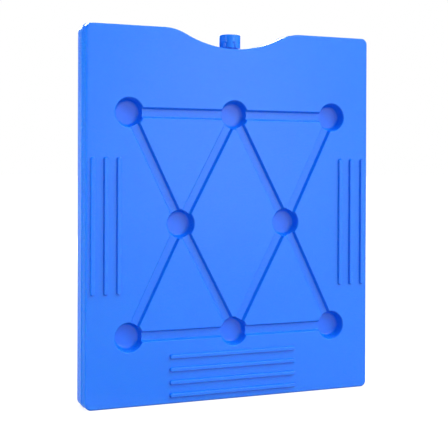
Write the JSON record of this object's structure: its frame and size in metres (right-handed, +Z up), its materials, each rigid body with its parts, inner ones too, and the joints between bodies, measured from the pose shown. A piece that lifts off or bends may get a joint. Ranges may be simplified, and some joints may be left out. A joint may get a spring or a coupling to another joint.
{
  "type": "reusable ice pack",
  "caption": "Flat blown-plastic cooling plate with round kiss-off hollows, linking grooves, grip ribs and a capped filler neck in a dip in its top edge.",
  "frame": {"origin": "centre of the foot edge that the pack stands on, midway between front and back", "axes": "+Z up towards the filler neck, +X to the right seen from the front, -Y out of the front face"},
  "size_m": [0.2516, 0.0308, 0.3023],
  "materials": {
    "pack_plastic": "satin blown polyethylene with a fine moulded grain",
    "cap_plastic": "glossy injection-moulded polyethylene"
  },
  "bodies": {
    "root": {"pack_body": "pack_plastic", "filler_cap": "cap_plastic"}
  },
  "joints": []
}
